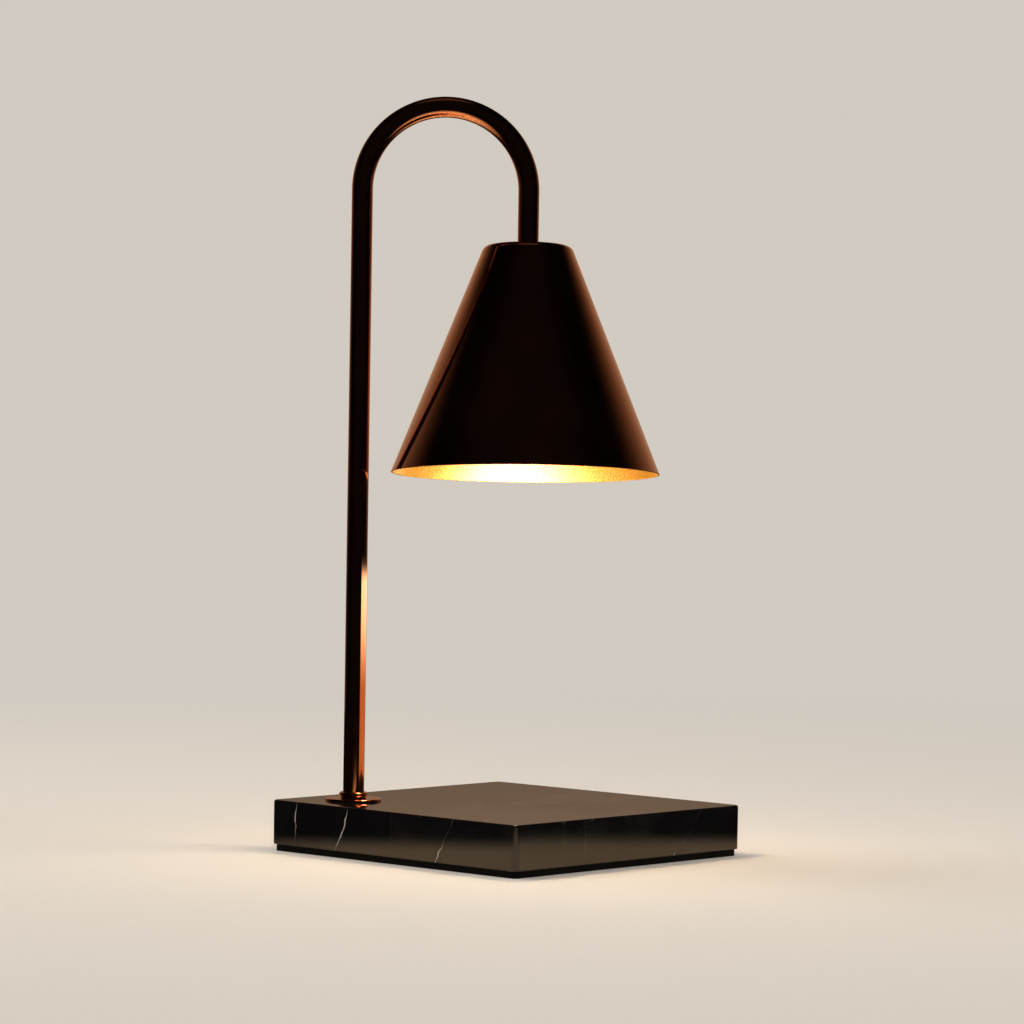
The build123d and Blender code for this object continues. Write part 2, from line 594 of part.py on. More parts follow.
def bulb_filament():
    """Envelope of the coiled filament, on two legs that stand in the capsule's stem."""
    stem_top = BULB_BASE_END + BULB_NECK_GRIP
    height = CAPSULE_STEM_END - CAPSULE_LENGTH / 2
    coil = Pos(0, 0, height) * Rot(0, 90, 0) * Cylinder(FILAMENT_R, FILAMENT_LENGTH)
    leg_x = FILAMENT_LENGTH / 2 - FILAMENT_LEG_R
    stem_x = CAPSULE_BORE_R / 2
    leg = Plane.XZ * FilletPolyline(
        (leg_x, height),
        (leg_x, height + FILAMENT_LEG_STRAIGHT),
        (stem_x, CAPSULE_STEM_END),
        (stem_x, stem_top),
        radius=FILAMENT_LEG_BEND_R,
    )
    legs = round_bar(leg, FILAMENT_LEG_R)
    return coil + legs + Rot(0, 0, 180) * legs


# ---------------------------------------------------------------- wiring
def arm_lead(side):
    """Lead from its splice in the pocket, through the stem, arch and leg, to the ball's centre."""
    turn_top = LEAD_LEVEL + LEAD_TURN_R
    plane = ARM_PLANE.offset(side * LEAD_OFFSET)
    tail = plane * Line((side * LEAD_TAIL, LEAD_LEVEL), (side * LEAD_TURN_R, LEAD_LEVEL))
    turn = plane * TangentArc((side * LEAD_TURN_R, LEAD_LEVEL), (0, turn_top), tangent=(-side, 0))
    rise = arm_path(turn_top, PIVOT_Z + FREE_GAP, side * LEAD_OFFSET)
    return round_bar(Curve() + [tail, turn, rise], LEAD_R)


def holder_lead(side):
    """Lead from the ball's centre, spread out to its hole in the lampholder's cover and its contact."""
    near = side * LEAD_OFFSET
    far = side * PIN_SPACING / 2
    path = Plane.YZ * FilletPolyline(
        (near, -FREE_GAP),
        (near, BRACKET_TOP - BRACKET_THICKNESS),
        (far, HOLDER_TOP + HOLDER_LEAD_DROP),
        (far, CONTACT_TOP),
        radius=HOLDER_LEAD_BEND_R,
    )
    return round_bar(path, LEAD_R)


def crimp_splices():
    """Closed-end sleeves over the tails of the two arm leads."""
    splices = []
    for side in (1, -1):
        start = LEAD_TAIL - SPLICE_GRIP
        sleeve = rod(SPLICE_R, start, start + SPLICE_LENGTH) - rod(LEAD_R + FIT, start, LEAD_TAIL)
        along_tail = Plane(origin=(0, LEAD_LEVEL, side * LEAD_OFFSET), z_dir=(side, 0, 0))
        splices.append(ARM_PLANE.location * along_tail.location * sleeve)
    return splices


# ---------------------------------------------------------------- the whole lamp
def lamp():
    """Every piece under its node's name, in its place."""
    rubber_bottom, spread_bottom, toothed_bottom, nut_bottom = washer_heights()[1:]
    pocket_top = PAD_THICKNESS + POCKET_DEPTH
    fixed = {
        "marble_base": marble_base(),
        "base_pad": base_pad(),
        "cord_bush": cord_bush(),
        "foot_flange": foot_flange(),
        "foot_collar": foot_collar(),
        "stem_stud": stem_stud(nut_bottom),
        "rubber_washer": flat_washer(RUBBER_WASHER_DIAMETER, rubber_bottom, pocket_top),
        "spread_washer": flat_washer(SPREAD_WASHER_DIAMETER, spread_bottom, rubber_bottom),
        "toothed_washer": toothed_washer(toothed_bottom, spread_bottom),
        "retaining_nut": retaining_nut(nut_bottom, toothed_bottom),
        "arm_tube": arm_tube(),
        "swivel_stud": swivel_stud(),
        "arm_lead_live": arm_lead(1),
        "arm_lead_neutral": arm_lead(-1),
        "crimp_splices": crimp_splices(),
    }
    head = {
        "shade": shade(),
        "socket_cap": socket_cap(),
        "socket_ring": socket_ring(),
        "socket_screws": socket_screws(),
        "holder_bracket": holder_bracket(),
        "lampholder": lampholder(),
        "holder_cover": holder_cover(),
        "holder_contacts": holder_contacts(),
        "holder_screws": holder_screws(),
        "holder_lead_live": holder_lead(-1),
        "holder_lead_neutral": holder_lead(1),
        "bulb_base": bulb_base(),
        "bulb_pins": bulb_pins(),
        "bulb_reflector": bulb_reflector(),
        "bulb_front_glass": bulb_front_glass(),
        "bulb_capsule": bulb_capsule(),
        "bulb_filament": bulb_filament(),
    }
    placed_head = {name: HEAD * (Part() + piece) for name, piece in head.items()}
    return {name: Part() + piece for name, piece in fixed.items()} | placed_head


os.makedirs("parts", exist_ok=True)
for node_name, solid in lamp().items():
    export_step(solid, f"parts/{node_name}.step")
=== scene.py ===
import json
from math import cos, pi, radians, sin, sqrt, tan

import bmesh
import bpy
from bpy.props import FloatProperty, FloatVectorProperty, PointerProperty
from mathutils import Matrix, Vector


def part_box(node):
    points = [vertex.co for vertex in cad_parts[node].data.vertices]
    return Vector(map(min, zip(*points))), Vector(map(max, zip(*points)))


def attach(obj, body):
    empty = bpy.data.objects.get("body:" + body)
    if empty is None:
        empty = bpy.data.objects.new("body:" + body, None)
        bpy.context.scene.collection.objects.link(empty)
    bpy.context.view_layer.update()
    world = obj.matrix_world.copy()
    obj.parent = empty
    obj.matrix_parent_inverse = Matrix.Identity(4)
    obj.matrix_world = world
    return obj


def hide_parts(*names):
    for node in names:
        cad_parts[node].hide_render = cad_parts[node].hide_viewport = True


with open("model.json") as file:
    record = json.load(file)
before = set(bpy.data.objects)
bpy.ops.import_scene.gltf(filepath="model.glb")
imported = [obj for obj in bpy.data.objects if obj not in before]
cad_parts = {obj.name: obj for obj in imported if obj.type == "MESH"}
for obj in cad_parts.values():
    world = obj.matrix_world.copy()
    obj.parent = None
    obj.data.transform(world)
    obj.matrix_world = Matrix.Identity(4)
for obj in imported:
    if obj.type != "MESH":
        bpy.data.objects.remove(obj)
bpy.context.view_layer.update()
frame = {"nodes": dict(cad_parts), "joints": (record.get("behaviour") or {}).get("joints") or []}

bl_info = {
    "name": "Candle warmer lamp",
    "version": (1, 0, 0),
    "blender": (4, 5, 0),
    "location": "3D View > Sidebar > Lamp",
    "description": "Builds a candle warmer lamp: marble base, arched arm and conical shade",
    "category": "Add Mesh",
}

MM = 0.001

# ---------------------------------------------------------------- places read from the frame
JOINTS = {joint["name"]: joint for joint in frame["joints"]}
PIVOT = Vector(JOINTS["shade_tilt"]["pos_m"])
ARM_DIRECTION = -Vector(JOINTS["shade_tilt"]["axis"]).normalized()
SHADE_AXIS = -Vector(JOINTS["bulb_twist"]["axis"]).normalized()
TUBE_LOW, TUBE_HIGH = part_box("arm_tube")


def frame_at(origin, up, along):
    """Matrix whose Z is up and whose X lies as near along as it can."""
    side = up.cross(along).normalized()
    turn = Matrix((side.cross(up), side, up)).transposed().to_4x4()
    return Matrix.Translation(origin) @ turn


HEAD = frame_at(PIVOT, SHADE_AXIS, ARM_DIRECTION)

# ---------------------------------------------------------------- numbers of the meshes
TUBE_SEGMENTS = 72
ARCH_STEPS = 90
END_RING = 2.0 * MM  # a ring this far from each end of a straight run keeps its shading even
ARCH_CLEARANCE = 0.001 * MM  # keeps the top of the arch inside the box of the CAD
SHADE_STEPS = 192
CROWN_SEGMENTS = (10, 6)  # of the rounded top edge, outside and inside
RIM_EDGE = 0.3 * MM
RIM_SEGMENTS = 3
SHARP_ANGLE = radians(35)
SEAM_GAP = 1e-7
MERGE_GAP = 1e-6
RING_TOLERANCE = 1e-5

# ---------------------------------------------------------------- numbers of the finishes
# A fade is a pair: the value at which a mask is 0 and the value at which it is 1.
NOISE_MIDDLE = (0.3, 0.7)
SMUDGE_FADE = (0.42, 0.72)
SCRATCH_FADE = (0.68, 0.74)
SPECK_FADE = (0.28, 0.12)

VEIN_SWAY = 0.008
VEINS = (
    # high and low point on a side face, way over the top, width, how much is broken away
    ((-0.0581, -0.075, 0.0226), (-0.0603, -0.075, 0.0058), (0.25, 1, 0), 0.00030, 0.46),
    ((-0.0264, -0.075, 0.0230), (-0.0342, -0.075, 0.0026), (0.45, 1, 0), 0.00036, 0.38),
    ((0.0375, -0.075, 0.0230), (0.0290, -0.075, 0.0060), (-0.35, 1, 0), 0.00024, 0.42),
    ((-0.0003, -0.075, 0.0230), (-0.0003, -0.075, 0.0050), (0.10, 1, 0), 0.00020, 0.50),
    ((0.0750, -0.0306, 0.0150), (0.0750, -0.0300, 0.0040), (-1, 0.5, 0), 0.00026, 0.48),
    ((0.0750, 0.0460, 0.0200), (0.0750, 0.0360, 0.0090), (-1, 0.2, 0), 0.00022, 0.48),
)
WEB_FADE = (0.007, 0.0)  # distance from a hairline of the fine web
WEB_PATCH_FADE = (0.54, 0.68)
WEB_ON_TOP = 0.14
WEB_ON_SIDES = 0.25  # of what the top shows
STONE_TOP_FADE = (0.0215, 0.0228)
STONE_CLOUD_FADE = (0.45, 0.8)

# Painted glow of the shade's lining: it gives off light as if the bulb lit it.
LINING_PAINTED_GLOW = ((0.92, 0.36, 0.015), (1.0, 0.44, 0.03))
LINING_PAINTED_GLOW_STRENGTH = 0.55
LENS_DEPTH = 0.08  # below the swivel's centre
LENS_FADE = (0.004, 0.024)
LENS_HOT = (1.25, 1.12, 0.88)
LENS_LIGHT = (1.0, 0.78, 0.48)
LENS_STRENGTH = 40.0

# ---------------------------------------------------------------- numbers of the stage
UNDER_BULB = Vector((0.01, 0.01, 0.0))
FLOOR_RADIUS = 30.0
FLOOR_TO_BACKDROP = (0.3, 1.2)  # distance from the lamp

# The floor in reflections is painted: level ones see a small painted pool of light, steep ones a
# wide one, and past it painted dark.
POOL_STRETCH = 2.1  # towards the camera
POOL_EDGE = (0.115, 0.195)
POOL_SHRINK = (1.5, 1.0)  # the pool is smaller for steeper reflections, over this slant
POOL_SHRINK_SLANT = (0.66, 0.88)
LEVEL_SLANT = (0.42, 0.62)
WIDE_POOL_EDGE = (0.14, 0.42)

# The room in reflections: its far side glows, its sides are darkest, its near side is dim.
DARKEST = 0.2  # of the room's shade
WALL_FOOT = (0.09, 0.21)
WALL_FOOT_LEVEL = 0.48
WALL_TOP = (0.42, 0.96)
WALL_FOCUS = 2.6
WALL_NEAR_SIDE = (-0.27, -0.82)
SKY_NEAR_SIDE = (0.20, 0.60)
CEILING_EDGE = (0.93, 0.995)
CEILING_LEVEL = 0.15  # of the far side's glow

# Warm disc under the shade, for reflections that look down.
DISC_RADIUS = 0.040
DISC_HEIGHT = 0.105
DISC_FADE = (0.006, 0.038)
DISC_COLOURS = ((1.0, 1.05, 1.9), (0.8, 0.40, 0.12))
DISC_STRENGTH = 15.0
DISC_SLANT = (0.36, 0.55)

# Low arc of light about the stem, for level reflections in the stem.
ARC_RADIUS = 0.36
ARC_HEIGHT = 0.125
ARC_LEAN = radians(8)
ARC_TURN = radians(16)
ARC_HALF_SPAN = radians(52)
ARC_STEPS = 52
ARC_ENDS = (cos(radians(50)), cos(radians(42)))
ARC_TOP = (0.120, 0.106)
ARC_COLOUR_FADE = (0.047, 0.102)
ARC_COLOURS = ((0.75, 0.36, 0.15), (2.8, 2.65, 2.2))
ARC_SLANT = (0.022, 0.006)
ARC_REACH = (0.335, 0.350)  # the stone is nearer than this, and doesn't show it

LIGHTS = (
    # name, place, size, power, colour
    ("key light", (-1.2, -0.5, 1.9), 1.4, 22.0, (1.0, 0.95, 0.88)),
    ("fill light", (1.6, 0.6, 1.5), 1.6, 9.0, (1.0, 0.97, 0.94)),
)
LIGHTS_AIM = Vector((0, 0, 0.15))


# ---------------------------------------------------------------- settings
class LampSizes(bpy.types.PropertyGroup):
    """Sizes of the lamp's visible skins."""

    tube_radius: FloatProperty(
        name="Tube radius", description="Outside of the arm's tube",
        default=4.75 * MM, unit="LENGTH",
    )
    tube_wall: FloatProperty(
        name="Tube wall", description="Wall of the arm's tube",
        default=1.0 * MM, unit="LENGTH",
    )
    tube_seat: FloatProperty(
        name="Tube seat", description="The tube's lower end above the swivel's centre",
        default=7.2 * MM, unit="LENGTH",
    )
    shade_height: FloatProperty(
        name="Shade height", description="Along the shade's axis",
        default=103.0 * MM, unit="LENGTH",
    )
    shade_top: FloatProperty(
        name="Shade top", description="The top plate above the swivel's centre",
        default=8.4 * MM, unit="LENGTH",
    )
    shade_rim_radius: FloatProperty(
        name="Rim radius", description="Outside of the shade's mouth",
        default=60.5 * MM, unit="LENGTH",
    )
    shade_top_radius: FloatProperty(
        name="Top radius", description="Where the cone would meet the top plate",
        default=19.7 * MM, unit="LENGTH",
    )
    shade_wall: FloatProperty(
        name="Shade wall", description="Sheet thickness",
        default=1.0 * MM, unit="LENGTH",
    )
    shade_edge: FloatProperty(
        name="Top edge", description="Rounding of the spun top edge",
        default=2.5 * MM, unit="LENGTH",
    )
    shade_hole: FloatProperty(
        name="Neck hole", description="Radius of the hole for the swivel's neck",
        default=6.28 * MM, unit="LENGTH",
    )


class LampColours(bpy.types.PropertyGroup):
    """Colours of the lamp's finishes."""

    rose_gold: FloatVectorProperty(
        name="Rose gold", description="Plating outside",
        subtype="COLOR", default=(0.72, 0.30, 0.155),
    )
    lining: FloatVectorProperty(
        name="Lining", description="Satin inside of the shade",
        subtype="COLOR", default=(0.86, 0.42, 0.11),
    )
    stone: FloatVectorProperty(
        name="Stone", description="Ground of the black marble",
        subtype="COLOR", default=(0.0055, 0.0052, 0.0055),
    )
    vein: FloatVectorProperty(
        name="Veins", description="White calcite veins",
        subtype="COLOR", default=(0.42, 0.39, 0.35),
    )
    glow: FloatVectorProperty(
        name="Glow", description="Light of the warm bulb",
        subtype="COLOR", default=(1.0, 0.66, 0.32),
    )


class LampStage(bpy.types.PropertyGroup):
    """Camera, floor and room."""

    camera_place: FloatVectorProperty(
        name="Camera place", description="Where the camera stands",
        subtype="TRANSLATION", default=(1.2595, -1.3625, 0.1978),
    )
    camera_turn: FloatVectorProperty(
        name="Camera turn", description="Pitch down, roll and heading of the camera",
        subtype="EULER", default=(radians(1.343), radians(0.9), radians(42.74)),
    )
    camera_lens: FloatProperty(name="Lens", description="Focal length in mm", default=144.49)
    floor: FloatVectorProperty(
        name="Floor", description="Pale floor",
        subtype="COLOR", default=(0.70, 0.66, 0.61),
    )
    # Painted pool of light on the floor near the lamp, seen in reflections only.
    floor_glow: FloatVectorProperty(
        name="Floor glow", description="Floor near the lamp in reflections",
        subtype="COLOR", default=(1.0, 0.76, 0.49),
    )
    background: FloatVectorProperty(
        name="Background", description="Far floor and backdrop",
        subtype="COLOR", default=(0.64, 0.595, 0.535),
    )
    even_light: FloatVectorProperty(
        name="Even light", description="Light from all sides on matt surfaces",
        subtype="COLOR", default=(0.62, 0.60, 0.57),
    )
    room_glow: FloatVectorProperty(
        name="Room glow", description="Far side of the room in reflections",
        subtype="COLOR", default=(0.50, 0.32, 0.20),
    )
    room_shade: FloatVectorProperty(
        name="Room shade", description="Rest of the room in reflections",
        subtype="COLOR", default=(0.0042, 0.0037, 0.0042),
    )
    room_radius: FloatProperty(
        name="Room radius", description="Distance of the room's wall in reflections",
        default=0.9, unit="LENGTH",
    )
    room_height: FloatProperty(
        name="Room height", description="Height of the room's wall in reflections",
        default=1.0, unit="LENGTH",
    )


# ---------------------------------------------------------------- mesh helpers
def edges_of(verts):
    """Edges that meet these vertices, each once and always in the same order."""
    return list(dict.fromkeys(edge for vert in verts for edge in vert.link_edges))


def extruded(bm, edges, step):
    """Extrudes edges by a step and returns the new edges."""
    made = bmesh.ops.extrude_edge_only(bm, edges=edges)["geom"]
    verts = [item for item in made if isinstance(item, bmesh.types.BMVert)]
    bmesh.ops.translate(bm, verts=verts, vec=step)
    return [item for item in made if isinstance(item, bmesh.types.BMEdge)]


def spun(bm, section, steps):
    """Spins a closed section of (radius, height) points a full turn about Z."""
    verts = [bm.verts.new((radius, 0, height)) for radius, height in section]
    edges = [bm.edges.new(pair) for pair in zip(verts, verts[1:] + verts[:1])]
    bmesh.ops.spin(
        bm, geom=verts + edges, cent=(0, 0, 0), axis=(0, 0, 1), angle=2 * pi, steps=steps,
        use_merge=True,
    )
    bmesh.ops.remove_doubles(bm, verts=bm.verts, dist=SEAM_GAP)


def round_rings(bm, radius, height, width, segments):
    """Rounds the ring of edges that lies at this radius and height."""
    ring = [
        edge
        for edge in bm.edges
        if all(
            abs(vert.co.xy.length - radius) < RING_TOLERANCE
            and abs(vert.co.z - height) < RING_TOLERANCE
            for vert in edge.verts
        )
    ]
    bmesh.ops.bevel(
        bm, geom=ring, offset=width, offset_type="OFFSET", affect="EDGES", segments=segments,
        profile=0.5, material=-1,
    )


def finished(name, bm, body, slot, node, *finishes):
    """Turns a bmesh into a smooth piece that rides on a body and stands for a CAD node."""
    bmesh.ops.remove_doubles(bm, verts=bm.verts, dist=MERGE_GAP)
    bmesh.ops.recalc_face_normals(bm, faces=bm.faces)
    for face in bm.faces:
        face.smooth = True
    mesh = bpy.data.meshes.new(name)
    bm.to_mesh(mesh)
    bm.free()
    mesh.set_sharp_from_angle(angle=SHARP_ANGLE)
    for finish in finishes:
        mesh.materials.append(finish)
    piece = bpy.data.objects.new(name, mesh)
    bpy.context.scene.collection.objects.link(piece)
    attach(piece, body)
    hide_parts(node)


# ---------------------------------------------------------------- shapes
def stem_foot(sizes):
    """Where the stem's axis meets the floor."""
    return Vector((TUBE_LOW.x + sizes.tube_radius, TUBE_LOW.y + sizes.tube_radius, 0))


def arm_tube_mesh(sizes):
    """Bent tube with its bore: stem, half-circle arch and short leg."""
    radius = sizes.tube_radius
    stem = stem_foot(sizes) + Vector((0, 0, TUBE_LOW.z))
    leg = Vector((TUBE_HIGH.x - radius, TUBE_HIGH.y - radius, PIVOT.z + sizes.tube_seat))
    bend = (leg - stem).to_2d().length / 2
    arch_start = TUBE_HIGH.z - radius - bend - ARCH_CLEARANCE
    centre = Vector(((stem.x + leg.x) / 2, (stem.y + leg.y) / 2, arch_start))
    over = Vector((0, 0, 1)).cross(ARM_DIRECTION)
    bm = bmesh.new()
    foot_rings, leg_rings = [], []
    for wall_radius in (radius, radius - sizes.tube_wall):
        ring = bmesh.ops.create_circle(
            bm, cap_ends=False, segments=TUBE_SEGMENTS, radius=wall_radius
        )["verts"]
        bmesh.ops.translate(bm, verts=ring, vec=stem)
        edges = edges_of(ring)
        foot_rings += edges
        for length in (END_RING, arch_start - stem.z - 2 * END_RING, END_RING):
            edges = extruded(bm, edges, (0, 0, length))
        verts = list(dict.fromkeys(vert for edge in edges for vert in edge.verts))
        swept = bmesh.ops.spin(
            bm, geom=verts + edges, cent=centre, axis=over, angle=pi, steps=ARCH_STEPS,
            use_merge=False,
        )["geom_last"]
        edges = [item for item in swept if isinstance(item, bmesh.types.BMEdge)]
        for length in (END_RING, arch_start - leg.z - 2 * END_RING, END_RING):
            edges = extruded(bm, edges, (0, 0, -length))
        leg_rings += edges
    bmesh.ops.bridge_loops(bm, edges=foot_rings)
    bmesh.ops.bridge_loops(bm, edges=leg_rings)
    return bm


def shade_mesh(sizes):
    """Conical shell with a flat top. Its outside has the first finish, its inside the second."""
    top, wall, hole = sizes.shade_top, sizes.shade_wall, sizes.shade_hole
    rim, crown = sizes.shade_rim_radius, sizes.shade_top_radius
    mouth = top - sizes.shade_height
    under = top - wall
    slope = (rim - crown) / sizes.shade_height
    wall_across = wall * sqrt(1 + slope * slope)
    inner_rim = rim - wall_across
    inner_crown = crown + slope * wall - wall_across
    outside = [(hole, top), (crown, top), (rim, mouth)]
    inside = [(inner_rim, mouth), (inner_crown, under), (hole, under)]
    bm = bmesh.new()
    spun(bm, outside + inside, SHADE_STEPS)
    bmesh.ops.recalc_face_normals(bm, faces=bm.faces)
    round_rings(bm, crown, top, sizes.shade_edge, CROWN_SEGMENTS[0])
    round_rings(bm, inner_crown, under, sizes.shade_edge - wall, CROWN_SEGMENTS[1])
    for radius in (rim, inner_rim):
        round_rings(bm, radius, mouth, RIM_EDGE, RIM_SEGMENTS)
    for face in bm.faces:
        spot = face.calc_center_median()
        inward = face.normal.xy.dot(spot.xy) < 0 and spot.xy.length > hole
        under_plate = face.normal.z < -0.5 and spot.z > mouth + sizes.shade_edge
        face.material_index = 1 if inward or under_plate else 0
    bmesh.ops.transform(bm, matrix=HEAD, verts=bm.verts)
    return bm


# ---------------------------------------------------------------- node helpers
def feed(tree, node, inputs):
    """Links an output to each named input of a node, or sets the input's own value."""
    for key, value in inputs.items():
        socket = node.inputs[key]
        if isinstance(value, bpy.types.NodeSocket):
            tree.links.new(value, socket)
        elif socket.type == "RGBA":
            socket.default_value = (*value, 1.0)
        else:
            socket.default_value = value


def add(tree, kind, inputs=None, **settings):
    """Adds a node with its settings and feeds its inputs."""
    node = tree.nodes.new(kind)
    for key, value in settings.items():
        setattr(node, key, value)
    feed(tree, node, inputs or {})
    return node


def math_node(tree, operation, *values):
    """Output of a Math node."""
    return add(tree, "ShaderNodeMath", dict(enumerate(values)), operation=operation).outputs[0]


def times(tree, first, *others):
    """Product of two or more values."""
    for other in others:
        first = math_node(tree, "MULTIPLY", first, other)
    return first


def vector_node(tree, operation, *values):
    """Output of a Vector Math node that gives a vector."""
    node = add(tree, "ShaderNodeVectorMath", dict(enumerate(values)), operation=operation)
    return node.outputs["Vector"]


def measure(tree, operation, *values):
    """Output of a Vector Math node that gives a number."""
    node = add(tree, "ShaderNodeVectorMath", dict(enumerate(values)), operation=operation)
    return node.outputs["Value"]


def height_of(tree, place):
    """Z of a place."""
    return add(tree, "ShaderNodeSeparateXYZ", {0: place}).outputs["Z"]


def slant_of(tree):
    """How slantingly a ray meets the surface, from 0 for squarely to 1 for grazing."""
    return tree.nodes.new("ShaderNodeLayerWeight").outputs["Facing"]


def noise(tree, place, scale, detail, roughness=0.5):
    """Outputs of a Noise Texture node."""
    inputs = {"Vector": place, "Scale": scale, "Detail": detail, "Roughness": roughness}
    return add(tree, "ShaderNodeTexNoise", inputs).outputs


def spread(tree, value, fade, levels=(0.0, 1.0)):
    """Value that runs smoothly from the first level to the second over the fade."""
    inputs = {
        "Value": value,
        "From Min": fade[0],
        "From Max": fade[1],
        "To Min": levels[0],
        "To Max": levels[1],
    }
    node = add(tree, "ShaderNodeMapRange", inputs, interpolation_type="SMOOTHSTEP")
    return node.outputs["Result"]


def blend(tree, factor, first, second):
    """Colour mixed from first to second."""
    inputs = {0: factor, 6: first, 7: second}
    return add(tree, "ShaderNodeMix", inputs, data_type="RGBA").outputs[2]


def shades(tree, factor, colour, first, second):
    """Colour that varies between two shades of itself."""
    tint = Vector(colour)
    return blend(tree, factor, first * tint, second * tint)


def effect(name, inputs, outputs):
    """New shader node group with its tree and the sockets of its two end nodes."""
    tree = bpy.data.node_groups.new(name, "ShaderNodeTree")
    for title, kind, value in inputs:
        socket = tree.interface.new_socket(
            title, in_out="INPUT", socket_type="NodeSocket" + kind
        )
        if value is not None:
            socket.default_value = value
    for title in outputs:
        tree.interface.new_socket(title, in_out="OUTPUT", socket_type="NodeSocketFloat")
    return tree, tree.nodes.new("NodeGroupInput").outputs, tree.nodes.new("NodeGroupOutput")


def use(tree, group, inputs):
    """Outputs of a node group that a material places with its own values."""
    node = tree.nodes.new("ShaderNodeGroup")
    node.node_tree = bpy.data.node_groups[group]
    feed(tree, node, inputs)
    return node.outputs


def material(name):
    """New material with its tree, its Principled shader and its object coordinates."""
    made = bpy.data.materials.new(name)
    made.use_nodes = True
    tree = made.node_tree
    place = tree.nodes.new("ShaderNodeTexCoord").outputs["Object"]
    return made, tree, tree.nodes["Principled BSDF"], place


def bump(tree, shader, height, distance):
    """Feeds a height to the shader's normal."""
    node = add(tree, "ShaderNodeBump", {"Height": height, "Distance": distance, "Strength": 1.0})
    tree.links.new(node.outputs[0], shader.inputs["Normal"])


# ---------------------------------------------------------------- shared effects
def make_handling_marks():
    """Faint smudges and hair-fine scratches on a polished surface."""
    tree, given, end = effect(
        "Handling marks",
        [("Place", "Vector", None), ("Smudge size", "Float", 0.02), ("Scratches", "Float", 0.3)],
        ["Smudge", "Scratch"],
    )
    scale = math_node(tree, "DIVIDE", 1.0, given["Smudge size"])
    clouds = noise(tree, given["Place"], scale, detail=4.0)["Fac"]
    combed = add(
        tree, "ShaderNodeMapping",
        {"Vector": given["Place"], "Rotation": (0.5, 0.3, 0.8), "Scale": (40, 40, 2200)},
    ).outputs[0]
    hairs = noise(tree, combed, scale=1.0, detail=1.0)["Fac"]
    feed(tree, end, {
        "Smudge": spread(tree, clouds, SMUDGE_FADE),
        "Scratch": times(tree, spread(tree, hairs, SCRATCH_FADE), given["Scratches"]),
    })


def make_fine_grain():
    """Even grain of a cast, moulded or blasted surface."""
    tree, given, end = effect(
        "Fine grain",
        [("Place", "Vector", None), ("Grain size", "Float", 0.0005)],
        ["Grain", "Specks"],
    )
    scale = math_node(tree, "DIVIDE", 1.0, given["Grain size"])
    cells = add(tree, "ShaderNodeTexVoronoi", {"Vector": given["Place"], "Scale": scale})
    feed(tree, end, {
        "Grain": noise(tree, given["Place"], scale, detail=3.0, roughness=0.65)["Fac"],
        "Specks": spread(tree, cells.outputs["Distance"], SPECK_FADE),
    })


def make_marble_vein():
    """One thin vein: a wavering sheet through the stone that fades and breaks up."""
    tree, given, end = effect(
        "Marble vein",
        [
            ("Place", "Vector", None),
            ("Direction", "Vector", (1.0, 0.0, 0.0)),
            ("Offset", "Float", 0.0),
            ("Width", "Float", 0.0006),
            ("Break up", "Float", 0.4),
        ],
        ["Vein"],
    )
    along = measure(tree, "DOT_PRODUCT", given["Place"], given["Direction"])
    gap = math_node(tree, "ABSOLUTE", math_node(tree, "SUBTRACT", along, given["Offset"]))
    patches = noise(tree, given["Place"], scale=75.0, detail=3.0)["Fac"]
    full = spread(tree, patches, (given["Break up"], 0.75))
    width = times(tree, given["Width"], math_node(tree, "ADD", full, 0.12))
    line = spread(tree, math_node(tree, "DIVIDE", gap, width), (1.0, 0.25))
    feed(tree, end, {"Vein": times(tree, line, spread(tree, full, (-0.4, 0.7)))})


def make_brushing():
    """Fine lines of a drawn or turned metal surface."""
    tree, given, end = effect(
        "Brushing",
        [("Place", "Vector", None), ("Stretch", "Vector", (3000.0, 3000.0, 60.0))],
        ["Lines"],
    )
    inputs = {"Vector": given["Place"], "Scale": given["Stretch"]}
    drawn = add(tree, "ShaderNodeMapping", inputs).outputs[0]
    feed(tree, end, {"Lines": noise(tree, drawn, scale=1.0, detail=2.0)["Fac"]})


# ---------------------------------------------------------------- finishes
def rose_gold_plating(colour):
    """Mirror-bright copper-toned plating with faint smudges."""
    made, tree, shader, place = material("rose gold plating")
    inputs = {"Place": place, "Smudge size": 0.03, "Scratches": 0.25}
    marks = use(tree, "Handling marks", inputs)
    smudged = spread(tree, marks["Smudge"], (0, 1), (0.045, 0.085))
    feed(tree, shader, {
        "Base Color": shades(tree, marks["Smudge"], colour, 1.0, 0.93),
        "Roughness": math_node(tree, "ADD", smudged, times(tree, marks["Scratch"], 0.10)),
        "Metallic": 1.0,
    })
    return made


def satin_lining(colour):
    """Blasted, gold-toned inside of the shade, with a painted glow that stands in for the bulb's
    light on it.
    """
    made, tree, shader, place = material("satin lining")
    grain = use(tree, "Fine grain", {"Place": place, "Grain size": 0.0009})
    feed(tree, shader, {
        "Base Color": shades(tree, grain["Specks"], colour, 0.90, 1.12),
        "Roughness": spread(tree, grain["Grain"], NOISE_MIDDLE, (0.25, 0.36)),
        "Metallic": 1.0,
        # painted glow: the lining gives off light as if the bulb lit it
        "Emission Color": blend(tree, grain["Specks"], *LINING_PAINTED_GLOW),
        "Emission Strength": LINING_PAINTED_GLOW_STRENGTH,
    })
    bump(tree, shader, grain["Grain"], 0.0001)
    return made


def vein_sheet(high, low, onward):
    """Direction and offset of the sheet through a side face's line and onward over the top."""
    down = Vector(high) - Vector(low)
    direction = down.cross(Vector(onward)).normalized()
    return direction, direction.dot(Vector(high))


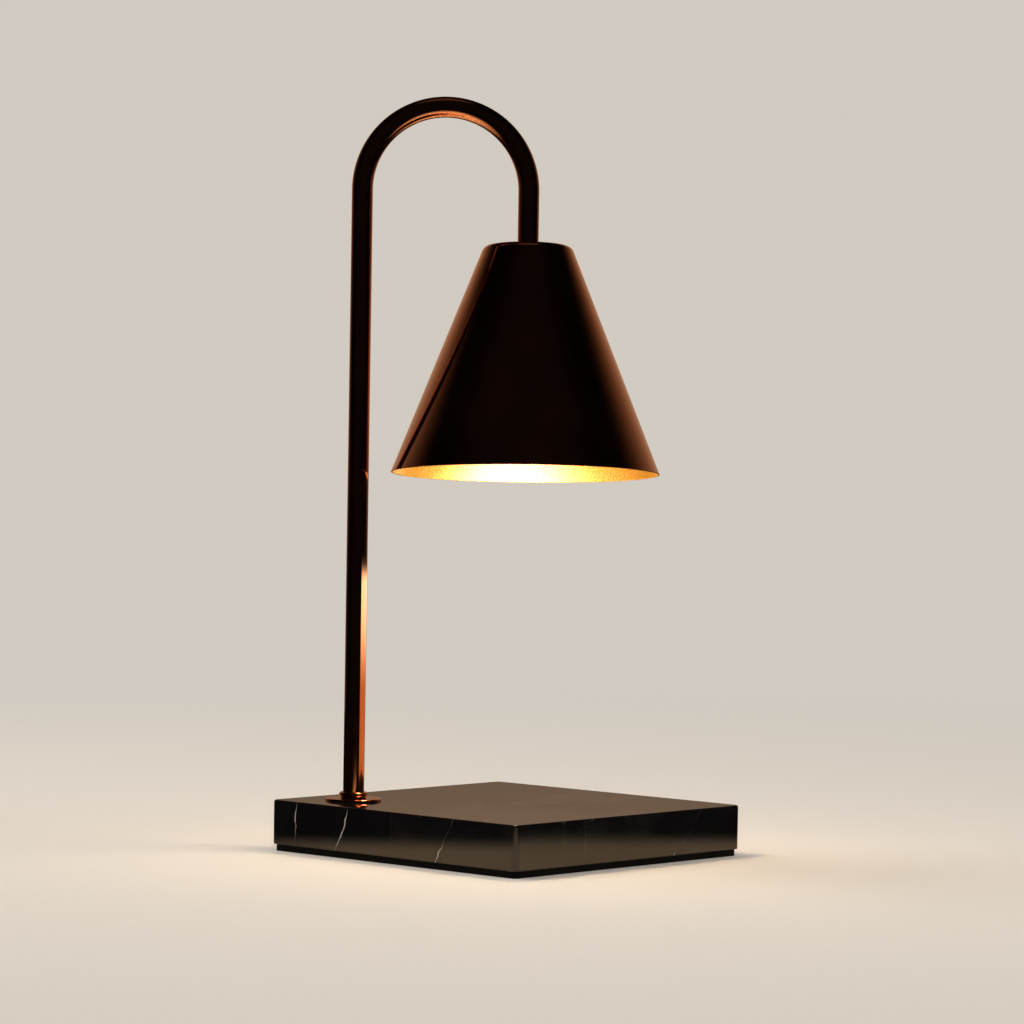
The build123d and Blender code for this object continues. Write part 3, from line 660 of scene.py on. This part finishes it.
def black_marble(stone, vein_colour):
    """Polished black marble with thin white veins and a fine web of hairlines."""
    made, tree, shader, place = material("black marble")
    sway = noise(tree, place, scale=55.0, detail=4.0, roughness=0.6)["Color"]
    centred = vector_node(tree, "SUBTRACT", sway, (0.5, 0.5, 0.5))
    moved = vector_node(tree, "MULTIPLY_ADD", centred, [VEIN_SWAY] * 3, place)
    veins = None
    for high, low, onward, width, broken in VEINS:
        direction, offset = vein_sheet(high, low, onward)
        vein = use(tree, "Marble vein", {
            "Place": moved,
            "Direction": direction,
            "Offset": offset,
            "Width": width,
            "Break up": broken,
        })["Vein"]
        veins = math_node(tree, "MAXIMUM", veins, vein) if veins else vein
    web = add(
        tree, "ShaderNodeTexVoronoi",
        {"Vector": vector_node(tree, "ADD", moved, (0.31, 0.12, 0.05)), "Scale": 24.0},
        feature="DISTANCE_TO_EDGE",
    ).outputs["Distance"]
    patches = noise(tree, place, scale=17.0, detail=2.0)["Fac"]
    patch = spread(tree, patches, WEB_PATCH_FADE, (0, WEB_ON_TOP))
    on_top = spread(tree, height_of(tree, place), STONE_TOP_FADE, (WEB_ON_SIDES, 1.0))
    hairlines = times(tree, spread(tree, web, WEB_FADE), times(tree, patch, on_top))
    clouds = noise(tree, moved, scale=30.0, detail=8.0, roughness=0.7)["Fac"]
    ground = shades(tree, spread(tree, clouds, STONE_CLOUD_FADE), stone, 0.7, 2.2)
    lines = math_node(tree, "MAXIMUM", veins, hairlines)
    marks = use(tree, "Handling marks", {"Place": place, "Smudge size": 0.04, "Scratches": 0.2})
    feed(tree, shader, {
        "Base Color": blend(tree, lines, ground, vein_colour),
        "Roughness": spread(tree, marks["Smudge"], (0, 1), (0.05, 0.10)),
    })
    return made


def plain_finish(
    name, colour, rough, grain_size, depth, metallic=0.0, variation=0.12, gloss=0.5
):
    """Grained finish for moulded, cast or coated pieces."""
    made, tree, shader, place = material(name)
    grain = use(tree, "Fine grain", {"Place": place, "Grain size": grain_size})["Grain"]
    levels = (rough * 0.85, min(1.0, rough * 1.15))
    feed(tree, shader, {
        "Base Color": shades(tree, grain, colour, 1 - variation, 1 + variation),
        "Roughness": spread(tree, grain, NOISE_MIDDLE, levels),
        "Metallic": metallic,
        "Specular IOR Level": gloss,
    })
    bump(tree, shader, grain, depth)
    return made


def drawn_metal(name, colour, rough, stretch):
    """Turned or drawn bare metal with fine lines."""
    made, tree, shader, place = material(name)
    lines = use(tree, "Brushing", {"Place": place, "Stretch": stretch})["Lines"]
    feed(tree, shader, {
        "Base Color": shades(tree, lines, colour, 0.85, 1.1),
        "Roughness": spread(tree, lines, NOISE_MIDDLE, (rough * 0.8, rough * 1.25)),
        "Metallic": 1.0,
    })
    bump(tree, shader, lines, 0.00002)
    return made


def front_lens(colour):
    """Lit front glass of the bulb: hot in the middle and warm at the edge."""
    made, tree, shader, place = material("lit front glass")
    centre = HEAD @ Vector((0, 0, -LENS_DEPTH))
    from_axis = measure(tree, "DISTANCE", place, centre)
    specks = use(tree, "Fine grain", {"Place": place, "Grain size": 0.0022})["Specks"]
    warm = Vector(colour)
    glow = blend(tree, spread(tree, from_axis, LENS_FADE), LENS_HOT, 0.95 * warm)
    dimpled = blend(tree, spread(tree, specks, (0, 1), (0.0, 0.5)), glow, 0.7 * warm)
    # The glass lights its surroundings at full strength, and the eye sees its own colour.
    to_eye = add(
        tree, "ShaderNodeVectorMath", {0: dimpled, "Scale": 1 / LENS_STRENGTH}, operation="SCALE"
    ).outputs[0]
    seen = tree.nodes.new("ShaderNodeLightPath").outputs["Is Camera Ray"]
    feed(tree, shader, {
        "Base Color": (0.9, 0.88, 0.82),
        "Roughness": 0.15,
        "Emission Color": blend(tree, seen, LENS_LIGHT, to_eye),
        "Emission Strength": LENS_STRENGTH,
    })
    bump(tree, shader, specks, 0.0002)
    return made


def clear_glass():
    """Thin clear glass."""
    made, tree, shader, place = material("clear glass")
    marks = use(tree, "Handling marks", {"Place": place, "Smudge size": 0.01, "Scratches": 0.1})
    feed(tree, shader, {
        "Base Color": (0.95, 0.97, 0.98),
        "Roughness": spread(tree, marks["Smudge"], (0, 1), (0.02, 0.06)),
        "Alpha": 0.28,
    })
    return made


def braided_sleeve(name, colour):
    """Woven sleeve of a heat-proof lead."""
    made, tree, shader, place = material(name)
    weave = add(
        tree, "ShaderNodeTexWave",
        {"Vector": place, "Scale": 520.0, "Distortion": 2.0, "Detail": 1.0},
        bands_direction="DIAGONAL",
    ).outputs["Fac"]
    feed(tree, shader, {"Base Color": shades(tree, weave, colour, 0.6, 1.0), "Roughness": 0.8})
    bump(tree, shader, weave, 0.0001)
    return made


def dress(finish, *nodes):
    """Gives CAD nodes their finish."""
    for name in nodes:
        slots = frame["nodes"][name].data.materials
        slots.clear()
        slots.append(finish)


# ---------------------------------------------------------------- stage helpers
def far_side(settings):
    """Level direction from the camera to the far side of the room."""
    heading = settings.camera_turn[2]
    return Vector((-sin(heading), cos(heading), 0))


def arc_middle(settings):
    """Direction from the stem to the middle of the low arc of light."""
    heading = settings.camera_turn[2]
    right = Vector((cos(heading), sin(heading), 0))
    return Matrix.Rotation(ARC_TURN, 3, "Z") @ right


def emission(tree, colour, strength=1.0):
    """Shader that gives off light."""
    return add(tree, "ShaderNodeEmission", {"Color": colour, "Strength": strength}).outputs[0]


def mixed(tree, factor, first, second):
    """Shader mixed from first to second."""
    return add(tree, "ShaderNodeMixShader", {0: factor, 1: first, 2: second}).outputs[0]


def card_material(name):
    """New empty material for a card of light, with its tree and its object coordinates."""
    made = bpy.data.materials.new(name)
    made.use_nodes = True
    tree = made.node_tree
    tree.nodes.clear()
    return made, tree, tree.nodes.new("ShaderNodeTexCoord").outputs["Object"]


def end_card(tree, light, veil=None):
    """Ends a card's tree with its light, which a veil of 1 hides."""
    if veil:
        light = mixed(tree, veil, light, tree.nodes.new("ShaderNodeBsdfTransparent").outputs[0])
    end = tree.nodes.new("ShaderNodeOutputMaterial")
    tree.links.new(light, end.inputs["Surface"])


def stage_piece(name, bm, finish):
    """Turns a bmesh into a piece of the stage."""
    mesh = bpy.data.meshes.new(name)
    bm.to_mesh(mesh)
    bm.free()
    mesh.materials.append(finish)
    piece = bpy.data.objects.new(name, mesh)
    bpy.context.scene.collection.objects.link(piece)
    return piece


def card(name, bm, finish):
    """Makes a piece of the stage that only reflections show."""
    piece = stage_piece(name, bm, finish)
    for ray in ("camera", "diffuse", "transmission", "shadow"):
        setattr(piece, "visible_" + ray, False)


def room_shades(tree, settings, near_side):
    """Dark of the room: dim on its near side and darkest on its sides."""
    return shades(tree, near_side, settings.room_shade, DARKEST, 1.0)


# ---------------------------------------------------------------- stage finishes
def pale_floor(settings):
    """Matt and pale to the eye. In reflections it shows a painted pool of light near the lamp
    and painted dark beyond.
    """
    made, tree, shader, place = material("pale floor")
    path = tree.nodes.new("ShaderNodeLightPath").outputs
    grain = use(tree, "Fine grain", {"Place": place, "Grain size": 0.004})["Grain"]
    pale = shades(tree, grain, settings.floor, 0.985, 1.015)
    feed(tree, shader, {
        # in reflections the floor takes the painted glow of a lit pool
        "Base Color": blend(tree, path["Is Glossy Ray"], pale, settings.floor_glow),
        "Roughness": 0.9,
        "Specular IOR Level": 0.2,
    })
    away = measure(tree, "DISTANCE", place, UNDER_BULB)
    seen_far = times(tree, path["Is Camera Ray"], spread(tree, away, FLOOR_TO_BACKDROP))
    seen = mixed(tree, seen_far, shader.outputs[0], emission(tree, settings.background))
    stretched = add(
        tree, "ShaderNodeMapping",
        {
            "Vector": place,
            "Location": UNDER_BULB,
            "Rotation": (0, 0, settings.camera_turn[2]),
            "Scale": (1, POOL_STRETCH, 1),
        },
        vector_type="TEXTURE",
    ).outputs[0]
    slant = slant_of(tree)
    level = spread(tree, slant, LEVEL_SLANT)
    steep = math_node(tree, "SUBTRACT", 1.0, level)
    shrink = spread(tree, slant, POOL_SHRINK_SLANT, POOL_SHRINK)
    reach = times(tree, measure(tree, "LENGTH", stretched), shrink)
    past_pool = times(tree, level, spread(tree, reach, POOL_EDGE))
    past_wide_pool = times(tree, steep, spread(tree, away, WIDE_POOL_EDGE))
    past = math_node(tree, "ADD", past_pool, past_wide_pool)
    # painted dark of the room past the pool, in reflections only
    dark = times(tree, path["Is Glossy Ray"], past)
    surface = mixed(tree, dark, seen, emission(tree, settings.room_shade))
    tree.links.new(surface, tree.nodes["Material Output"].inputs["Surface"])
    return made


def wall_glow(settings):
    """Light of the room's wall, strongest at mid height in the middle of the far side."""
    made, tree, place = card_material("room glow")
    far = measure(tree, "DOT_PRODUCT", place, far_side(settings))
    turn = math_node(tree, "DIVIDE", far, settings.room_radius)
    facing = math_node(tree, "MAXIMUM", turn, 0.0)
    height = height_of(tree, place)
    low = spread(tree, height, WALL_FOOT, (WALL_FOOT_LEVEL, 1.0))
    high = spread(tree, height, WALL_TOP, (1.0, 0.0))
    level = times(tree, math_node(tree, "POWER", facing, WALL_FOCUS), times(tree, low, high))
    shade = room_shades(tree, settings, spread(tree, turn, WALL_NEAR_SIDE))
    end_card(tree, emission(tree, blend(tree, level, shade, settings.room_glow)))
    return made


def disc_glow():
    """Warm light of the disc under the shade, seen only from above."""
    made, tree, place = card_material("pool glow")
    middle = UNDER_BULB + Vector((0, 0, DISC_HEIGHT))
    outward = spread(tree, measure(tree, "DISTANCE", place, middle), DISC_FADE)
    light = emission(tree, blend(tree, outward, *DISC_COLOURS), DISC_STRENGTH)
    under = tree.nodes.new("ShaderNodeNewGeometry").outputs["Backfacing"]
    slanting = spread(tree, slant_of(tree), DISC_SLANT)
    end_card(tree, light, math_node(tree, "MAXIMUM", under, slanting))
    return made


def arc_glow(settings, stem):
    """Warm light of the low arc, soft at its ends and top, for level reflections only."""
    made, tree, place = card_material("strip glow")
    offset = vector_node(tree, "SUBTRACT", place, stem)
    along = measure(tree, "DOT_PRODUCT", offset, arc_middle(settings))
    sideways = spread(tree, math_node(tree, "DIVIDE", along, ARC_RADIUS), ARC_ENDS)
    height = height_of(tree, offset)
    upright = spread(tree, height, ARC_TOP)
    level = spread(tree, slant_of(tree), ARC_SLANT)
    ray_length = tree.nodes.new("ShaderNodeLightPath").outputs["Ray Length"]
    reached = spread(tree, ray_length, ARC_REACH)
    strength = times(tree, times(tree, sideways, upright), times(tree, level, reached))
    colour = blend(tree, spread(tree, height, ARC_COLOUR_FADE), *ARC_COLOURS)
    veil = math_node(tree, "SUBTRACT", 1.0, strength)
    end_card(tree, emission(tree, colour, strength), veil)
    return made


def studio(settings):
    """World that is pale to the eye, even on matt surfaces and a dark room in reflections."""
    world = bpy.data.worlds.new("studio")
    world.use_nodes = True
    tree = world.node_tree
    path = tree.nodes.new("ShaderNodeLightPath").outputs
    way = tree.nodes.new("ShaderNodeTexCoord").outputs["Generated"]
    near = measure(tree, "DOT_PRODUCT", way, -far_side(settings))
    shade = room_shades(tree, settings, spread(tree, near, SKY_NEAR_SIDE))
    overhead = spread(tree, height_of(tree, way), CEILING_EDGE)
    dark = blend(tree, overhead, shade, CEILING_LEVEL * Vector(settings.room_glow))
    even = blend(tree, path["Is Camera Ray"], settings.even_light, settings.background)
    feed(tree, tree.nodes["Background"], {
        "Color": blend(tree, path["Is Glossy Ray"], even, dark),
        "Strength": 1.0,
    })
    return world


# ---------------------------------------------------------------- operators
class LAMP_OT_effects(bpy.types.Operator):
    """Make the node groups that several finishes share"""

    bl_idname = "lamp.effects"
    bl_label = "Shared effects"

    def execute(self, context):
        make_handling_marks()
        make_fine_grain()
        make_marble_vein()
        make_brushing()
        return {"FINISHED"}


class LAMP_OT_base(bpy.types.Operator):
    """Dress the marble base, its pad and the cord outlet's bush"""

    bl_idname = "lamp.base"
    bl_label = "Marble base"

    def execute(self, context):
        colours = context.scene.lamp_colours
        pad = plain_finish(
            "soft pad", (0.004, 0.004, 0.004), rough=0.85, grain_size=0.0012, depth=0.0002,
            gloss=0.1,
        )
        plastic = plain_finish(
            "black plastic", (0.02, 0.02, 0.02), rough=0.35, grain_size=0.0008, depth=0.00003
        )
        dress(black_marble(colours.stone, colours.vein), "marble_base")
        dress(pad, "base_pad")
        dress(plastic, "cord_bush")
        return {"FINISHED"}


class LAMP_OT_arm(bpy.types.Operator):
    """Build the arm's plated tube and dress the foot that it stands on"""

    bl_idname = "lamp.arm"
    bl_label = "Arm and foot"

    def execute(self, context):
        plating = rose_gold_plating(context.scene.lamp_colours.rose_gold)
        bm = arm_tube_mesh(context.scene.lamp_sizes)
        finished("arm_tube_plated", bm, "base", "rose_gold", "arm_tube", plating)
        dress(plating, "foot_flange", "foot_collar", "swivel_stud")
        return {"FINISHED"}


class LAMP_OT_shade(bpy.types.Operator):
    """Build the conical shade: plated outside, satin inside"""

    bl_idname = "lamp.shade"
    bl_label = "Shade"

    def execute(self, context):
        plating = bpy.data.materials["rose gold plating"]
        lining = satin_lining(context.scene.lamp_colours.lining)
        bm = shade_mesh(context.scene.lamp_sizes)
        finished("shade_spun", bm, "shade_head", "rose_gold", "shade", plating, lining)
        return {"FINISHED"}


class LAMP_OT_lampholder(bpy.types.Operator):
    """Dress the swivel's socket, the bracket and the lampholder"""

    bl_idname = "lamp.lampholder"
    bl_label = "Swivel and lampholder"

    def execute(self, context):
        steel = drawn_metal(
            "turned steel", (0.55, 0.54, 0.52), rough=0.28, stretch=(500.0, 500.0, 4000.0)
        )
        sheet = drawn_metal(
            "sheet steel", (0.60, 0.60, 0.58), rough=0.34, stretch=(300.0, 4000.0, 300.0)
        )
        bronze = drawn_metal(
            "bronze strip", (0.72, 0.47, 0.20), rough=0.3, stretch=(3000.0, 300.0, 300.0)
        )
        porcelain = plain_finish(
            "glazed porcelain", (0.80, 0.77, 0.70), rough=0.22, grain_size=0.003,
            depth=0.00004, variation=0.04,
        )
        dress(steel, "socket_cap", "socket_ring", "socket_screws", "holder_screws")
        dress(sheet, "holder_bracket")
        dress(porcelain, "lampholder", "holder_cover", "bulb_base")
        dress(bronze, "holder_contacts")
        return {"FINISHED"}


class LAMP_OT_bulb(bpy.types.Operator):
    """Dress the reflector bulb"""

    bl_idname = "lamp.bulb"
    bl_label = "Bulb"

    def execute(self, context):
        silver = plain_finish(
            "silvered reflector", (0.86, 0.84, 0.78), rough=0.12, grain_size=0.003,
            depth=0.0003, metallic=1.0, variation=0.05,
        )
        tungsten = plain_finish(
            "tungsten", (0.30, 0.28, 0.26), rough=0.4, grain_size=0.0003, depth=0.00005,
            metallic=1.0,
        )
        brass = drawn_metal(
            "brass pins", (0.76, 0.56, 0.26), rough=0.25, stretch=(400.0, 400.0, 3000.0)
        )
        dress(front_lens(context.scene.lamp_colours.glow), "bulb_front_glass")
        dress(silver, "bulb_reflector")
        dress(clear_glass(), "bulb_capsule")
        dress(brass, "bulb_pins")
        dress(tungsten, "bulb_filament")
        return {"FINISHED"}


class LAMP_OT_fastenings(bpy.types.Operator):
    """Dress the fastenings and the wiring under the stone and in the arm"""

    bl_idname = "lamp.fastenings"
    bl_label = "Fastenings and wiring"

    def execute(self, context):
        steel = bpy.data.materials["turned steel"]
        brown = braided_sleeve("brown sleeve", (0.20, 0.09, 0.04))
        white = braided_sleeve("white sleeve", (0.75, 0.72, 0.65))
        crimp = plain_finish(
            "grey crimp", (0.35, 0.36, 0.38), rough=0.5, grain_size=0.001, depth=0.00005
        )
        dress(steel, "stem_stud", "retaining_nut", "toothed_washer", "spread_washer")
        dress(bpy.data.materials["soft pad"], "rubber_washer")
        dress(brown, "arm_lead_live", "holder_lead_live")
        dress(white, "arm_lead_neutral", "holder_lead_neutral")
        dress(crimp, "crimp_splices")
        return {"FINISHED"}


class LAMP_OT_stage(bpy.types.Operator):
    """Set up the camera, the pale floor, the room that reflections show and the soft lights"""

    bl_idname = "lamp.stage"
    bl_label = "Stage"

    def execute(self, context):
        settings = context.scene.lamp_stage
        stem = stem_foot(context.scene.lamp_sizes)
        context.scene.view_settings.view_transform = "Standard"
        self.camera(context, settings)
        self.floor(settings)
        context.scene.world = studio(settings)
        self.wall(settings)
        self.disc()
        self.arc(settings, stem)
        for row in LIGHTS:
            self.light(*row)
        return {"FINISHED"}

    def camera(self, context, settings):
        """Long lens at the viewing height of the lamp."""
        pitch, roll, heading = settings.camera_turn
        look = Vector((-sin(heading) * cos(pitch), cos(heading) * cos(pitch), -sin(pitch)))
        right = Vector((cos(heading), sin(heading), 0))
        up = right.cross(look)
        leaning_right = cos(roll) * right + sin(roll) * up
        turn = Matrix((leaning_right, leaning_right.cross(look), -look)).transposed()
        data = bpy.data.cameras.new("camera")
        data.lens = settings.camera_lens
        data.sensor_width = 36.0
        data.clip_end = 100.0
        camera = bpy.data.objects.new("camera", data)
        camera.matrix_world = Matrix.Translation(settings.camera_place) @ turn.to_4x4()
        context.scene.collection.objects.link(camera)
        context.scene.camera = camera

    def floor(self, settings):
        """Wide round floor."""
        bm = bmesh.new()
        bmesh.ops.create_circle(bm, cap_ends=True, segments=96, radius=FLOOR_RADIUS)
        stage_piece("floor", bm, pale_floor(settings))

    def wall(self, settings):
        """Round wall of the room."""
        bm = bmesh.new()
        ring = bmesh.ops.create_circle(
            bm, cap_ends=False, segments=96, radius=settings.room_radius
        )["verts"]
        extruded(bm, edges_of(ring), (0, 0, settings.room_height))
        card("room_wall", bm, wall_glow(settings))

    def disc(self):
        """Level disc under the shade."""
        bm = bmesh.new()
        bmesh.ops.create_circle(bm, cap_ends=True, segments=64, radius=DISC_RADIUS)
        bmesh.ops.translate(bm, verts=bm.verts, vec=UNDER_BULB + Vector((0, 0, DISC_HEIGHT)))
        card("warm_pool", bm, disc_glow())

    def arc(self, settings, stem):
        """Low arc about the stem that leans outwards."""
        bm = bmesh.new()
        first = Matrix.Rotation(-ARC_HALF_SPAN, 3, "Z") @ arc_middle(settings)
        verts = [
            bm.verts.new(
                stem + (ARC_RADIUS + height * tan(ARC_LEAN)) * first + Vector((0, 0, height))
            )
            for height in (0.0, ARC_HEIGHT)
        ]
        edge = bm.edges.new(verts)
        bmesh.ops.spin(
            bm, geom=verts + [edge], cent=stem, axis=(0, 0, 1), angle=2 * ARC_HALF_SPAN,
            steps=ARC_STEPS, use_merge=False,
        )
        for face in bm.faces:
            face.smooth = True
        card("strip_light", bm, arc_glow(settings, stem))

    def light(self, name, place, size, power, colour):
        """Large soft area light aimed at the lamp, which reflections don't show."""
        data = bpy.data.lights.new(name, "AREA")
        data.shape = "DISK"
        data.size = size
        data.energy = power
        data.color = colour
        lamp = bpy.data.objects.new(name, data)
        turn = (LIGHTS_AIM - Vector(place)).to_track_quat("-Z", "Y").to_matrix().to_4x4()
        lamp.matrix_world = Matrix.Translation(place) @ turn
        lamp.visible_glossy = False
        bpy.context.scene.collection.objects.link(lamp)


class LAMP_PT_sidebar(bpy.types.Panel):
    """Sizes, colours and build steps of the lamp"""

    bl_label = "Candle warmer lamp"
    bl_idname = "LAMP_PT_sidebar"
    bl_space_type = "VIEW_3D"
    bl_region_type = "UI"
    bl_category = "Lamp"

    def draw(self, context):
        scene = context.scene
        for settings in (scene.lamp_sizes, scene.lamp_colours, scene.lamp_stage):
            box = self.layout.box()
            for name in settings.__annotations__:
                box.prop(settings, name)
        for step in STEPS:
            self.layout.operator(step.bl_idname)


SETTINGS = (LampSizes, LampColours, LampStage)
STEPS = (
    LAMP_OT_effects,
    LAMP_OT_base,
    LAMP_OT_arm,
    LAMP_OT_shade,
    LAMP_OT_lampholder,
    LAMP_OT_bulb,
    LAMP_OT_fastenings,
    LAMP_OT_stage,
)


def register():
    """Registers the classes and gives the scene its settings."""
    for cls in SETTINGS + STEPS + (LAMP_PT_sidebar,):
        bpy.utils.register_class(cls)
    bpy.types.Scene.lamp_sizes = PointerProperty(type=LampSizes)
    bpy.types.Scene.lamp_colours = PointerProperty(type=LampColours)
    bpy.types.Scene.lamp_stage = PointerProperty(type=LampStage)


def unregister():
    """Takes the settings and the classes away again."""
    for name in ("lamp_sizes", "lamp_colours", "lamp_stage"):
        delattr(bpy.types.Scene, name)
    for cls in reversed(SETTINGS + STEPS + (LAMP_PT_sidebar,)):
        bpy.utils.unregister_class(cls)


def main():
    """Registers the add-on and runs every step."""
    register()
    for step in STEPS:
        group, name = step.bl_idname.split(".")
        getattr(getattr(bpy.ops, group), name)()


if __name__ == "__main__":
    main()
